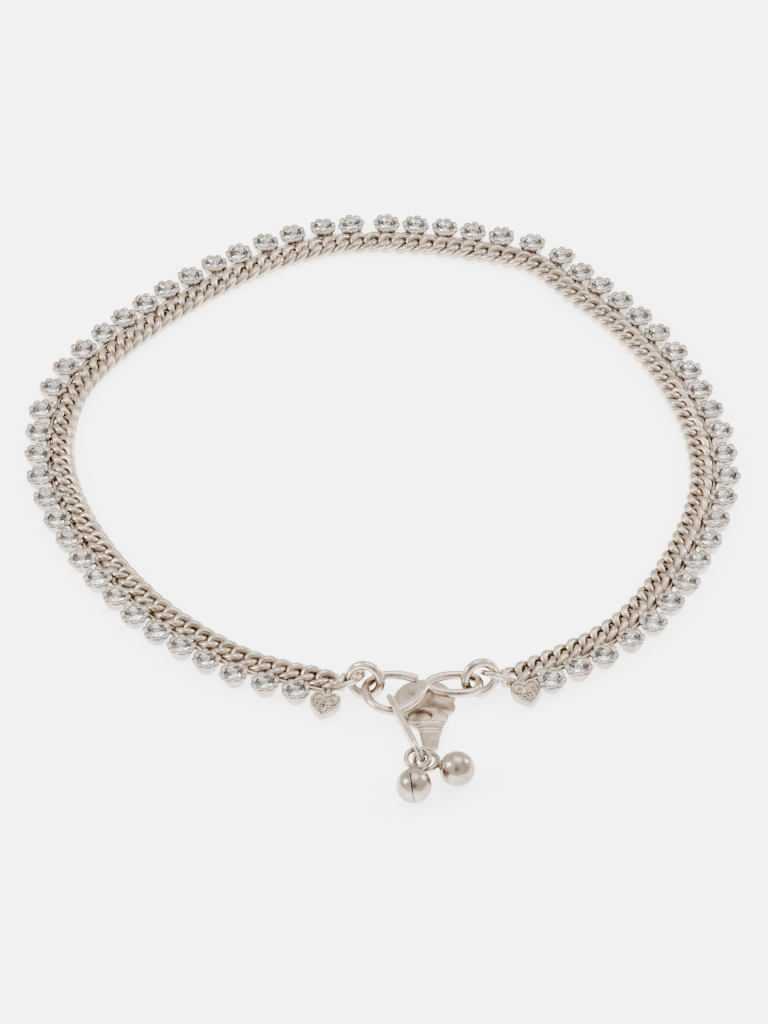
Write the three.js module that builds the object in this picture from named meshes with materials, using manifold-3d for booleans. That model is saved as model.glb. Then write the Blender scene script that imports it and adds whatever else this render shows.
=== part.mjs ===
// An anklet lying flat: a loop of heavy curb chain with a row of flower cups soldered along its outer
// edge, each holding a cut stone, a heart tag at each end of the row, and an S-hook clasp that carries
// two jingle bells and a flower charm. Millimetres, +Z up, resting on the plane z = 0.
import * as THREE from 'three';
import { mergeVertices } from 'three/addons/utils/BufferGeometryUtils.js';
import Module from 'manifold-3d';

const wasm = await Module();
wasm.setup();

// Loop of the chain's centreline, seen from above
const LOOP_WIDTH = 86.75;
const LOOP_DEPTH = 87.75;
// Its route from the left end round the far side to the right end, as shares of width and depth
const CHAIN_ROUTE = [
  [-0.0692, -0.3590], [-0.2248, -0.2991], [-0.3718, -0.1681], [-0.4784, 0.0171], [-0.5072, 0.1909],
  [-0.4496, 0.3533], [-0.2536, 0.5499], [-0.0490, 0.6410], [0.2104, 0.6040], [0.3055, 0.5214],
  [0.4236, 0.3675], [0.4928, 0.1709], [0.4784, -0.0085], [0.3689, -0.2222], [0.1873, -0.3504],
];

// Play left between pieces that only touch
const PLAY = 0.3;

// Curb chain, as the smooth oval that its links fill
const CHAIN_WIDTH = 3.5;
const CHAIN_THICKNESS = 2.0;
const CHAIN_LEVEL = 1.05;
const CHAIN_SIDES = 8;
const CHAIN_STEP = 7.4;

// Flower cups and their stones
const CUP_COUNT = 61;
const CUP_PETALS = 8;
const CUP_DIAMETER = 3.8;
const CUP_FOOT_DIAMETER = 2.4;
const CUP_HEIGHT = 1.9;
const PETAL_NOTCH = 0.26;
const STONE_DIAMETER = 2.9;
const STONE_TABLE = 1.7;
const STONE_CROWN = 0.2;
const CUP_OFFSET = 3.4;
const CHAIN_PAST_CUPS = 4.6;
const TAB_WIDTH = 1.5;
const TAB_THICKNESS = 0.9;

// Heart tags
const HEART_WIDTH = 4.0;
const HEART_LENGTH = 4.4;
const HEART_THICKNESS = 1.1;
const HEART_RIM = 0.45;
const HEART_RECESS = 0.3;
const HEART_CLEFT = -0.34;
const HEART_BENDS = [
  [-0.56, -0.1, -0.56, -0.5, -0.16, -0.5], [0.12, -0.5, 0.34, -0.24, 0.5, 0],
  [0.34, 0.24, 0.12, 0.5, -0.16, 0.5], [-0.56, 0.5, -0.56, 0.1, HEART_CLEFT, 0],
];
// Distance from the chain's end, offset out of the loop, and swing away from square
const HEART_LEFT = { pastEnd: 0.8, offset: 4.4, swing: 7 };
const HEART_RIGHT = { pastEnd: 1.7, offset: 3.75, swing: 18.5 };

// End links, which join the chain to the end rings
const LINK_LENGTH = 5.45;
const LINK_WIDTH = 3.29;
const LINK_WIRE = 0.79;

// End rings, leaning on the link and the hook that pass through them. x and y are from the chain's
// end, turn and lean in degrees. The link's bend lies outward and back from the ring's middle, and
// the hook's nearest bend hookSeat from it.
const RING_DIAMETER = 5.45;
const RING_WIRE = 1.25;
const RING_LEFT = {
  x: 3.559, y: -0.802, turn: -19.1, lean: 70.7,
  link: { outward: 1.341, back: 0.444, roll: 17 }, hookSeat: 0.049,
};
const RING_RIGHT = {
  x: -3.741, y: -1.131, turn: 22, lean: 69.9,
  link: { outward: 1.522, back: 0.524, roll: 36.8 }, hookSeat: 0.116,
};

// S-hook: an open mouth on the left and a closed eye on the right, whose levels of y are from the
// chain's left end
const HOOK_WIRE = 1.2;
const HOOK_LEVEL = 2.27;
const HOOK_MOUTH_LENGTH = 7.8;
const HOOK_MOUTH_WIDTH = 6.4;
const HOOK_MOUTH_Y = -2.8;
const HOOK_EYE_WIDTH = 4.5;
const HOOK_EYE_Y = -1.25;
// Centreline of the mouth's arm from its blunt tip to the crossing, as shares of the mouth's
// length and width
const HOOK_ARM = [
  { along: -0.14, across: 0.39 }, { along: -0.41, across: 0.5 }, { along: -0.73, across: 0.48 },
  { along: -0.955, across: 0.28 }, { along: -1, across: 0.04 }, { along: -0.91, across: -0.27 },
  { along: -0.7, across: -0.47 }, { along: -0.45, across: -0.5 }, { along: -0.2, across: -0.28 },
  { along: -0.06, across: -0.02 }, { along: 0.02, across: 0.19 },
];
// Centreline of one side of the eye from the crossing to its blunt end, in the same way
const HOOK_EYE_SIDE = [
  { along: 0, across: 0 }, { along: 0.14, across: 0.28 }, { along: 0.36, across: 0.46 },
  { along: 0.6, across: 0.5 }, { along: 0.82, across: 0.45 }, { along: 0.96, across: 0.26 },
  { along: 1, across: 0 }, { along: 0.99, across: -0.06 },
];

// Long oval ring of the drops, leaning over to the left. Its nearer bend is seated from the hook's
// crossing and from the lowest part of the mouth.
const OVAL_LENGTH = 12.1;
const OVAL_WIDTH = 4.5;
const OVAL_WIRE = 0.9;
const OVAL_HEADING = new THREE.Vector3(3.4, -8.7, -0.2);
const OVAL_LEAN = new THREE.Vector3(-0.32, 0, 1);
const OVAL_SEAT = { x: -3.852, below: 0.014, above: 0.254 };

// Jingle bells: ball, slit and cast eye
const BELL_DIAMETER = 4.6;
const BELL_WALL = 0.35;
const BELL_SLIT = 0.3;
const BELL_EYE_DIAMETER = 3.7;
const BELL_EYE_WIRE = 0.7;
const BELL_NECK_DIAMETER = 1.1;
const BELL_NECK_LENGTH = 0.1;

// Flower charm
const CHARM_DIAMETER = 8.3;
const CHARM_THICKNESS = 0.5;
const CHARM_SCALLOPS = 10;
const CHARM_SCALLOP_DEPTH = 0.35;
const CHARM_REACH = 10.8;
const CHARM_EYE_OFFSET = new THREE.Vector3(0.289, 1.297, -1.182);
const CHARM_EYE_LEAN = 22.2;
const CHARM_EYE_DIAMETER = 3.4;
const CHARM_EYE_WIRE = 0.5;
const CHARM_NECK_SHIFT = 0.71;
const CHARM_NECK_RISE = 0.2;
const CHARM_NECK_WIDTH = 1.8;
const CHARM_NECK_FOOT_WIDTH = 3.2;
const CHARM_COLLAR_LENGTH = 3.8;
const CHARM_COLLAR_WIDTH = 2.9;
const CHARM_COLLAR_WIRE = 0.5;
const CHARM_RECESS_DEPTH = 0.25;
const CHARM_RECESS_OFFSET = new THREE.Vector3(-0.6, -2.7, 0);
const CHARM_HOLE_DIAMETER = 0.6;
const CHARM_HOLE_OFFSET = { x: 1.8, y: -1.9 };
const RIDGE_COUNT = 4;
const RIDGE_PITCH = 0.6;
const RIDGE_THICKNESS = 0.3;
const RIDGES_PAST_PLATE = 0.1;

// Fineness of the meshes
const RING_SEGMENTS = 16;
const WIRE_SIDES = 6;
const BALL_SEGMENTS = 12;
const HOOK_ARM_STEPS = 21;
const HOOK_EYE_STEPS = 8;

const UP = new THREE.Vector3(0, 0, 1);

// A closed solid from a three.js geometry: shared corners merged, empty triangles left out
function solid(geometry) {
  const bare = geometry.clone();
  bare.deleteAttribute('normal');
  bare.deleteAttribute('uv');
  const merged = mergeVertices(bare);
  const index = merged.index.array;
  const triangles = [];
  for (let i = 0; i < index.length; i += 3) {
    const [a, b, c] = [index[i], index[i + 1], index[i + 2]];
    if (a !== b && b !== c && c !== a) triangles.push(a, b, c);
  }
  return new wasm.Manifold(new wasm.Mesh({
    numProp: 3,
    vertProperties: new Float32Array(merged.attributes.position.array),
    triVerts: new Uint32Array(triangles),
  }));
}

function joined(solids) {
  return solids.reduce((whole, piece) => whole.add(piece));
}

function matrix(position, xAxis, yAxis, zAxis) {
  return new THREE.Matrix4().makeBasis(xAxis, yAxis, zAxis).setPosition(position);
}

// Turned about X first, then about Z, then moved
function placed(geometry, position, turnZ = 0, turnX = 0) {
  const rotation = new THREE.Matrix4().makeRotationZ(THREE.MathUtils.degToRad(turnZ));
  rotation.multiply(new THREE.Matrix4().makeRotationX(THREE.MathUtils.degToRad(turnX)));
  return geometry.clone().applyMatrix4(rotation.setPosition(position));
}

// Axes with X along a direction and Z as near to a second one as that allows
function axesAlong(direction, nearZ) {
  const xAxis = direction.clone().normalize();
  const yAxis = nearZ.clone().cross(xAxis).normalize();
  return [xAxis, yAxis, xAxis.clone().cross(yAxis)];
}

function lathe(profile, segments) {
  const points = profile.map(([radius, height]) => new THREE.Vector2(radius, height));
  return new THREE.LatheGeometry(points, segments).rotateX(Math.PI / 2);
}

// A round wire ring, or an oval one with straight sides when it is longer than wide. Its axis is Z.
function wireRing(length, width, wire, wireSides) {
  const middle = (width - wire) / 2;
  const ring = new THREE.TorusGeometry(middle, wire / 2, wireSides, RING_SEGMENTS);
  const corner = ring.attributes.position;
  for (let i = 0; i < corner.count; i += 1) {
    const x = corner.getX(i);
    if (Math.abs(x) > 1e-6) corner.setX(i, x + Math.sign(x) * (length - width) / 2);
  }
  return ring;
}

// A wire of even thickness along a curve, with flat ends
function wireAlong(curve, wire, steps) {
  const section = new THREE.Shape().absarc(0, 0, wire / 2, 0, 2 * Math.PI);
  return new THREE.ExtrudeGeometry(section, {
    extrudePath: curve, steps, curveSegments: WIRE_SIDES / 2,
  });
}

// The chain's route, measured by length
const route = new THREE.CatmullRomCurve3(
  CHAIN_ROUTE.map(([x, y]) => new THREE.Vector3(x * LOOP_WIDTH, y * LOOP_DEPTH, CHAIN_LEVEL)),
  false, 'catmullrom', 0.5);
route.arcLengthDivisions = 2000;
const routeLength = route.getLength();
const chainStart = route.getPointAt(0);
const chainFinish = route.getPointAt(1);
const cupPitch = (routeLength - 2 * CHAIN_PAST_CUPS) / (CUP_COUNT - 1);

class RoutePart extends THREE.Curve {
  constructor(from, to) {
    super();
    this.from = from;
    this.to = to;
  }

  getPoint(t, target) {
    const distance = THREE.MathUtils.lerp(this.from, this.to, t);
    return route.getPointAt(distance / routeLength, target);
  }
}

// Foot on the centreline and the angle that points out of the loop, at a distance along the chain
function stationAt(distance) {
  const share = distance / routeLength;
  const tangent = route.getTangentAt(share);
  const angle = THREE.MathUtils.radToDeg(Math.atan2(tangent.x, -tangent.y));
  return { foot: route.getPointAt(share), angle };
}

function chainTube(from, to) {
  const section = new THREE.Shape().absellipse(
    0, 0, CHAIN_THICKNESS / 2, CHAIN_WIDTH / 2, 0, 2 * Math.PI);
  return new THREE.ExtrudeGeometry(section, {
    extrudePath: new RoutePart(from, to),
    steps: Math.round((to - from) / CHAIN_STEP),
    curveSegments: CHAIN_SIDES / 2,
  });
}

// Cup and stone in one: foot, wall that flares to the petals, rim, then crown and table
function cupGeometry() {
  const stoneRadius = STONE_DIAMETER / 2;
  const cup = lathe([
    [0, 0],
    [CUP_FOOT_DIAMETER / 2, 0],
    [CUP_DIAMETER / 2, CUP_HEIGHT],
    [stoneRadius, CUP_HEIGHT],
    [STONE_TABLE / 2, CUP_HEIGHT + STONE_CROWN],
    [0, CUP_HEIGHT + STONE_CROWN],
  ], 2 * CUP_PETALS);
  const corner = cup.attributes.position;
  for (let i = 0; i < corner.count; i += 1) {
    const [x, y] = [corner.getX(i), corner.getY(i)];
    const radius = Math.hypot(x, y);
    const valley = Math.cos(CUP_PETALS * Math.atan2(y, x)) < 0;
    if (radius > stoneRadius + PETAL_NOTCH && valley) {
      const scale = (radius - PETAL_NOTCH) / radius;
      corner.setXY(i, x * scale, y * scale);
    }
  }
  return cup;
}

// Tab from the chain's middle to under the rim of what it carries
function tabGeometry(length) {
  return new THREE.BoxGeometry(length, TAB_WIDTH, TAB_THICKNESS).translate(length / 2, 0, 0);
}

function cupAt(distance) {
  const { foot, angle } = stationAt(distance);
  const outward = new THREE.Vector3(CUP_OFFSET, 0, 0);
  outward.applyAxisAngle(UP, THREE.MathUtils.degToRad(angle));
  const centre = foot.clone().add(outward).setZ(0);
  const tab = tabGeometry(CUP_OFFSET - CUP_FOOT_DIAMETER / 3);
  return [solid(placed(cupGeometry(), centre, angle)), solid(placed(tab, foot, angle))];
}

// Heart outline with its point along +X, from four bends given as shares of its length and width
function heartShape(scale) {
  const shape = new THREE.Shape();
  const [along, across] = [HEART_LENGTH * scale, HEART_WIDTH * scale];
  shape.moveTo(HEART_CLEFT * along, 0);
  for (const bend of HEART_BENDS) {
    shape.bezierCurveTo(...bend.map((share, i) => share * (i % 2 ? across : along)));
  }
  return shape;
}

// Heart with a raised rim round a shallow recess
function heartSolid() {
  const flat = { depth: HEART_THICKNESS, bevelEnabled: false, curveSegments: 5 };
  const body = new THREE.ExtrudeGeometry(heartShape(1), flat);
  const pocket = new THREE.ExtrudeGeometry(heartShape(1 - 2 * HEART_RIM / HEART_WIDTH), flat);
  pocket.translate(0, 0, HEART_THICKNESS - HEART_RECESS);
  return solid(body).subtract(solid(pocket));
}

// side is 1 at the left end of the chain and -1 at its right end
function heartAt({ pastEnd, offset, swing }, side) {
  const { foot, angle } = stationAt(side > 0 ? pastEnd : routeLength - pastEnd);
  const place = matrixAt(foot, angle + side * swing);
  const heart = heartSolid().translate(offset, 0, -HEART_THICKNESS / 2).transform(place);
  const stem = solid(tabGeometry(offset - HEART_LENGTH / 4)).transform(place);
  return [heart, stem];
}

function matrixAt(position, turnZ) {
  const turn = new THREE.Matrix4().makeRotationZ(THREE.MathUtils.degToRad(turnZ));
  return turn.setPosition(position).toArray();
}

function ringCentre({ x, y, lean }, chainEnd) {
  const rise = Math.sin(THREE.MathUtils.degToRad(lean));
  const level = (RING_DIAMETER - RING_WIRE) / 2 * rise + RING_WIRE / 2;
  return new THREE.Vector3(chainEnd.x + x, chainEnd.y + y, level);
}

function endRing(ring, chainEnd) {
  const geometry = wireRing(RING_DIAMETER, RING_DIAMETER, RING_WIRE, WIRE_SIDES);
  return solid(placed(geometry, ringCentre(ring, chainEnd), ring.turn, ring.lean));
}

// End link: one bend passes through the end ring, the other lies in the chain's end
function endLink(ring, chainEnd, side) {
  const { outward, back, roll } = ring.link;
  const bend = ringCentre(ring, chainEnd).add(new THREE.Vector3(-side * outward, back, 0));
  const direction = chainEnd.clone().sub(bend).normalize();
  const nearUp = UP.clone().applyAxisAngle(direction, THREE.MathUtils.degToRad(roll * side));
  const centre = bend.addScaledVector(direction, (LINK_LENGTH - LINK_WIDTH) / 2);
  const link = wireRing(LINK_LENGTH, LINK_WIDTH, LINK_WIRE, WIRE_SIDES);
  return solid(link.applyMatrix4(matrix(centre, ...axesAlong(direction, nearUp))));
}

// One half of the chain with the cups numbered first to last, its heart tag and its end link
function chainHalf(from, to, first, last, heart, ring, side) {
  const pieces = [solid(chainTube(from, to))];
  for (let cup = first; cup <= last; cup += 1) {
    pieces.push(...cupAt(CHAIN_PAST_CUPS + cup * cupPitch));
  }
  const chainEnd = side > 0 ? chainStart : chainFinish;
  pieces.push(...heartAt(heart, side), endLink(ring, chainEnd, side));
  return joined(pieces);
}

// S-hook: the arm of the open mouth runs into a closed eye, and both bends lie in the end rings
const hookMouthEnd = ringCentre(RING_LEFT, chainStart).x + RING_LEFT.hookSeat;
const hookEyeEnd = ringCentre(RING_RIGHT, chainFinish).x - RING_RIGHT.hookSeat;
const hookCrossing = hookMouthEnd + HOOK_MOUTH_LENGTH;
const hookMouthY = chainStart.y + HOOK_MOUTH_Y;

function hookWire(places, length, width, middleY, steps) {
  const curve = new THREE.CatmullRomCurve3(places.map(({ along, across }) => new THREE.Vector3(
    hookCrossing + along * length, middleY + across * width, HOOK_LEVEL)));
  return solid(wireAlong(curve, HOOK_WIRE, steps));
}

function sHook() {
  const eyeLength = hookEyeEnd - hookCrossing;
  const eyeWidth = HOOK_EYE_WIDTH - HOOK_WIRE;
  const eyeY = chainStart.y + HOOK_EYE_Y;
  return joined([
    hookWire(HOOK_ARM, HOOK_MOUTH_LENGTH, HOOK_MOUTH_WIDTH, hookMouthY, HOOK_ARM_STEPS),
    hookWire(HOOK_EYE_SIDE, eyeLength, eyeWidth, eyeY, HOOK_EYE_STEPS),
    hookWire(HOOK_EYE_SIDE, eyeLength, -eyeWidth, eyeY, HOOK_EYE_STEPS),
  ]);
}

// The oval ring hangs on the lowest part of the hook's mouth and runs towards the drops
const ovalBendRadius = (OVAL_WIDTH - OVAL_WIRE) / 2;
const ovalAxis = OVAL_HEADING.clone().normalize();
const ovalNearBend = new THREE.Vector3(
  hookCrossing + OVAL_SEAT.x,
  hookMouthY - HOOK_MOUTH_WIDTH / 2 - OVAL_SEAT.below,
  HOOK_LEVEL + OVAL_SEAT.above);
const ovalFarEnd = ovalNearBend.clone().addScaledVector(
  ovalAxis, OVAL_LENGTH - ovalBendRadius - OVAL_WIRE);

function ovalRing() {
  const sideways = OVAL_LEAN.clone().cross(ovalAxis).normalize();
  const centre = ovalNearBend.clone().addScaledVector(
    ovalAxis, (OVAL_LENGTH - OVAL_WIDTH) / 2);
  const axes = [ovalAxis, sideways.clone().cross(ovalAxis).negate(), sideways.clone().negate()];
  return solid(wireRing(OVAL_LENGTH, OVAL_WIDTH, OVAL_WIRE, WIRE_SIDES)
    .applyMatrix4(matrix(centre, ...axes)));
}

// Hollow ball with a slit across the side away from the eye, along the bell's axis X
function ballSolid() {
  const outer = new THREE.SphereGeometry(BELL_DIAMETER / 2, BALL_SEGMENTS, BALL_SEGMENTS * 3 / 4);
  const inner = new THREE.SphereGeometry(
    BELL_DIAMETER / 2 - BELL_WALL, BALL_SEGMENTS - 2, BALL_SEGMENTS / 2);
  const slit = new THREE.BoxGeometry(BELL_DIAMETER, BELL_SLIT, BELL_DIAMETER);
  slit.translate(-BELL_DIAMETER / 2 + BELL_WALL, 0, 0);
  return solid(outer).subtract(solid(inner)).subtract(solid(slit));
}

// A bell whose ball lies on the surface. offset is from the oval ring's far end to the bell's eye,
// heading the way from the eye to the ball, roll the turn of the slit about the bell's axis
function bell({ offset, heading, roll }) {
  const reach = BELL_DIAMETER / 2 + BELL_EYE_DIAMETER / 2 + BELL_NECK_LENGTH;
  const eyeCentre = ovalFarEnd.clone().add(new THREE.Vector3(...offset));
  const drop = eyeCentre.z - BELL_DIAMETER / 2;
  const run = Math.sqrt(reach * reach - drop * drop);
  const angle = THREE.MathUtils.degToRad(heading);
  const toBall = new THREE.Vector3(run * Math.cos(angle), run * Math.sin(angle), -drop);
  const ballCentre = eyeCentre.clone().add(toBall);
  const place = matrix(ballCentre, ...axesAlong(toBall.clone().negate(), UP)).toArray();
  const eye = solid(wireRing(BELL_EYE_DIAMETER, BELL_EYE_DIAMETER, BELL_EYE_WIRE, WIRE_SIDES));
  const neckLength = BELL_EYE_WIRE + BELL_NECK_LENGTH + BELL_WALL / 2;
  const neck = new THREE.CylinderGeometry(
    BELL_NECK_DIAMETER / 2, BELL_NECK_DIAMETER / 2, neckLength, 8);
  neck.rotateZ(Math.PI / 2).translate(BELL_DIAMETER / 2 - BELL_WALL / 2 + neckLength / 2, 0, 0);
  const ball = ballSolid().rotate(roll, 0, 0);
  return joined([ball, eye.translate(reach, 0, 0), solid(neck)]).transform(place);
}

const BELLS = {
  bell_front: { offset: [-0.659, -0.188, 0.544], heading: -97, roll: -10 },
  bell_side: { offset: [0.461, 0.186, -0.446], heading: -23.2, roll: 60 },
};

// A straight bar between two points whose width changes evenly
function taperedBar(from, to, widthFrom, widthTo, thickness) {
  const bar = new THREE.BoxGeometry(1, 1, 1);
  const corner = bar.attributes.position;
  for (let i = 0; i < corner.count; i += 1) {
    const share = corner.getY(i) + 0.5;
    const middle = from.clone().lerp(to, share);
    const width = THREE.MathUtils.lerp(widthFrom, widthTo, share);
    corner.setXYZ(
      i, middle.x + corner.getX(i) * width, middle.y, middle.z + corner.getZ(i) * thickness);
  }
  return bar;
}

function scallopedShape() {
  const points = [];
  const count = CHARM_SCALLOPS * 4;
  for (let i = 0; i < count; i += 1) {
    const angle = 2 * Math.PI * i / count;
    const notch = CHARM_SCALLOP_DEPTH * (1 - Math.abs(Math.sin(CHARM_SCALLOPS * angle / 2)));
    const radius = CHARM_DIAMETER / 2 - notch;
    points.push(new THREE.Vector2(radius * Math.cos(angle), radius * Math.sin(angle)));
  }
  return new THREE.Shape(points);
}

// Flower charm: eye on the oval ring, ridged neck, and a scalloped plate on the surface, face down
function flowerCharm() {
  const eyeCentre = ovalFarEnd.clone().add(CHARM_EYE_OFFSET);
  const eye = placed(
    wireRing(CHARM_EYE_DIAMETER, CHARM_EYE_DIAMETER, CHARM_EYE_WIRE, WIRE_SIDES),
    eyeCentre, 0, CHARM_EYE_LEAN);

  const plateCentre = new THREE.Vector3(eyeCentre.x, eyeCentre.y + CHARM_REACH, 0);
  const plate = new THREE.ExtrudeGeometry(scallopedShape(), {
    depth: CHARM_THICKNESS, bevelEnabled: false,
  }).translate(plateCentre.x, plateCentre.y, 0);

  const neckTop = eyeCentre.clone().add(
    new THREE.Vector3(CHARM_NECK_SHIFT, CHARM_EYE_DIAMETER / 2 - CHARM_EYE_WIRE / 2, CHARM_NECK_RISE));
  const neckFoot = plateCentre.clone().add(
    new THREE.Vector3(CHARM_NECK_SHIFT, CHARM_EYE_WIRE - CHARM_DIAMETER / 2, CHARM_THICKNESS));
  const neck = taperedBar(
    neckTop, neckFoot, CHARM_NECK_WIDTH, CHARM_NECK_FOOT_WIDTH, CHARM_THICKNESS);

  const recessCentre = plateCentre.clone().add(CHARM_RECESS_OFFSET).setZ(CHARM_THICKNESS);
  const collar = placed(
    wireRing(CHARM_COLLAR_LENGTH, CHARM_COLLAR_WIDTH, CHARM_COLLAR_WIRE, WIRE_SIDES), recessCentre);
  const recess = new THREE.CylinderGeometry(1, 1, 2 * CHARM_RECESS_DEPTH, 16);
  recess.rotateX(Math.PI / 2).scale(
    CHARM_COLLAR_LENGTH / 2 - CHARM_COLLAR_WIRE, CHARM_COLLAR_WIDTH / 2 - CHARM_COLLAR_WIRE, 1);
  recess.translate(recessCentre.x, recessCentre.y, recessCentre.z);

  const hole = new THREE.CylinderGeometry(
    CHARM_HOLE_DIAMETER / 2, CHARM_HOLE_DIAMETER / 2, 3 * CHARM_THICKNESS, 8);
  hole.rotateX(Math.PI / 2).translate(
    plateCentre.x + CHARM_HOLE_OFFSET.x, plateCentre.y + CHARM_HOLE_OFFSET.y, 0);

  const ridges = [];
  for (let i = 1; i <= RIDGE_COUNT; i += 1) {
    const share = 1 - (RIDGES_PAST_PLATE + i * RIDGE_PITCH) / neckTop.distanceTo(neckFoot);
    const place = neckTop.clone().lerp(neckFoot, share);
    const width = THREE.MathUtils.lerp(CHARM_NECK_WIDTH, CHARM_NECK_FOOT_WIDTH, share);
    const ridge = new THREE.BoxGeometry(width - RIDGE_THICKNESS, RIDGE_THICKNESS, RIDGE_THICKNESS);
    ridges.push(solid(ridge.translate(place.x, place.y, place.z + CHARM_THICKNESS / 2)));
  }
  return joined([solid(plate), solid(neck), solid(eye), ...ridges])
    .subtract(solid(recess)).add(solid(collar)).subtract(solid(hole));
}

const SILVER = { color: 0xd9d0c9, roughness: 0.32, metalness: 1 };

function meshOf(name, shape) {
  const { vertProperties, triVerts } = shape.getMesh();
  const geometry = new THREE.BufferGeometry();
  geometry.setAttribute('position', new THREE.BufferAttribute(new Float32Array(vertProperties), 3));
  geometry.setIndex(new THREE.BufferAttribute(new Uint32Array(triVerts), 1));
  geometry.computeVertexNormals();
  const mesh = new THREE.Mesh(geometry, new THREE.MeshStandardMaterial(SILVER));
  mesh.name = name;
  return mesh;
}

// Cups are numbered from 0 at the left end, and the two halves of the chain meet past the middle one
const middleCup = Math.floor(CUP_COUNT / 2);
const meeting = CHAIN_PAST_CUPS + (middleCup + 0.5) * cupPitch;
const shapes = {
  chain_left: chainHalf(PLAY, meeting - PLAY / 2, 0, middleCup, HEART_LEFT, RING_LEFT, 1),
  chain_right: chainHalf(
    meeting + PLAY / 2, routeLength - PLAY, middleCup + 1, CUP_COUNT - 1, HEART_RIGHT, RING_RIGHT, -1),
  end_ring_left: endRing(RING_LEFT, chainStart),
  end_ring_right: endRing(RING_RIGHT, chainFinish),
  s_hook: sHook(),
  oval_ring: ovalRing(),
  flower_charm: flowerCharm(),
};
for (const [name, place] of Object.entries(BELLS)) shapes[name] = bell(place);

const group = new THREE.Group();
for (const [name, shape] of Object.entries(shapes)) group.add(meshOf(name, shape));

// The origin is under the middle of the whole anklet, on the surface that it lies on
const box = new THREE.Box3().setFromObject(group);
const middle = box.getCenter(new THREE.Vector3());
group.position.set(-middle.x, -middle.y, -box.min.z);

export default group;
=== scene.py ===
# A fastened anklet lying on a pale surface: a curb chain with a row of flower cups and cut stones,
# heart tags, an S-hook clasp, two jingle bells and a flower charm. Sizes are in millimetres.
import math

import bmesh
import bpy
from mathutils import Matrix, Vector


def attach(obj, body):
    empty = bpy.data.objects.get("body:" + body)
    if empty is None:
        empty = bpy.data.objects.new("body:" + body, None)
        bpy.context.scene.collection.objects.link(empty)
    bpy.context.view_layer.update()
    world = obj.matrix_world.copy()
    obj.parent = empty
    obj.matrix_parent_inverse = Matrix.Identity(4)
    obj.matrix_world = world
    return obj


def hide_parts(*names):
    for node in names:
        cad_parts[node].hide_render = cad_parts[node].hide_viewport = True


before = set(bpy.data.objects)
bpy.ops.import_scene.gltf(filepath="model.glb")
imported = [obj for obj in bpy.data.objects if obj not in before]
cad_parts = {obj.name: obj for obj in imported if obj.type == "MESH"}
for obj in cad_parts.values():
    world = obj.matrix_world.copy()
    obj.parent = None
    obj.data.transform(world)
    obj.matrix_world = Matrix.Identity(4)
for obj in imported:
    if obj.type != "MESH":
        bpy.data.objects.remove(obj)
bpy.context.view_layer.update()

# Curb chain. Oval links of drawn silver wire are closed one through the next, twisted and pressed
# into one tight braid. A thinner wire is soldered along its outer edge. The two halves meet at the
# far side.
MM = 0.001
PLAN_ZERO = Vector((0.477, -4.38, 0))
LOOP_SIZE = (86.75, 87.75)
# The chain's centreline from the clasp round to it again, in shares of the loop's size
CHAIN_ROUTE = [
    (-0.0692, -0.3590), (-0.2248, -0.2991), (-0.3718, -0.1681), (-0.4784, 0.0171), (-0.5072, 0.1909),
    (-0.4496, 0.3533), (-0.2536, 0.5499), (-0.0490, 0.6410), (0.2104, 0.6040), (0.3055, 0.5214),
    (0.4236, 0.3675), (0.4928, 0.1709), (0.4784, -0.0085), (0.3689, -0.2222), (0.1873, -0.3504)]
ROUTE_STEPS = 80
CHAIN_LEVEL = 1.05
CUP_COUNT = 61
CHAIN_PAST_CUPS = 4.6
LINK_PITCH = 2.0
FIRST_LINK = 1.2
# Half length, half width and twist of a link's centreline
LINK_HALF = (1.53, 1.16, -0.45)
LINK_WIRE = 1.16
LINK_STEPS = 20
LINK_LEAN = (4, 4, 3)
EDGE_WIRE = 0.72
EDGE_OUTWARD = 1.9
# Worn edge of a wire that is cut blunt, in shares of its width: radius and reach of each ring
WORN_TIP = (0.3, 0.1)
WORN_EDGE = (0.44, 0.06)


def smooth_line(points, steps):
    """Points on a smooth curve through the given ones, with so many steps in each span."""
    points = [Vector(point) for point in points]
    around = [2 * points[0] - points[1], *points, 2 * points[-1] - points[-2]]
    line = []
    for a, b, c, d in zip(around, around[1:], around[2:], around[3:]):
        for step in range(steps):
            t = step / steps
            line.append((2 * b + (c - a) * t + (2 * a - 5 * b + 4 * c - d) * t ** 2
                         + (3 * b - a - 3 * c + d) * t ** 3) / 2)
    line.append(points[-1])
    return line


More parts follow.
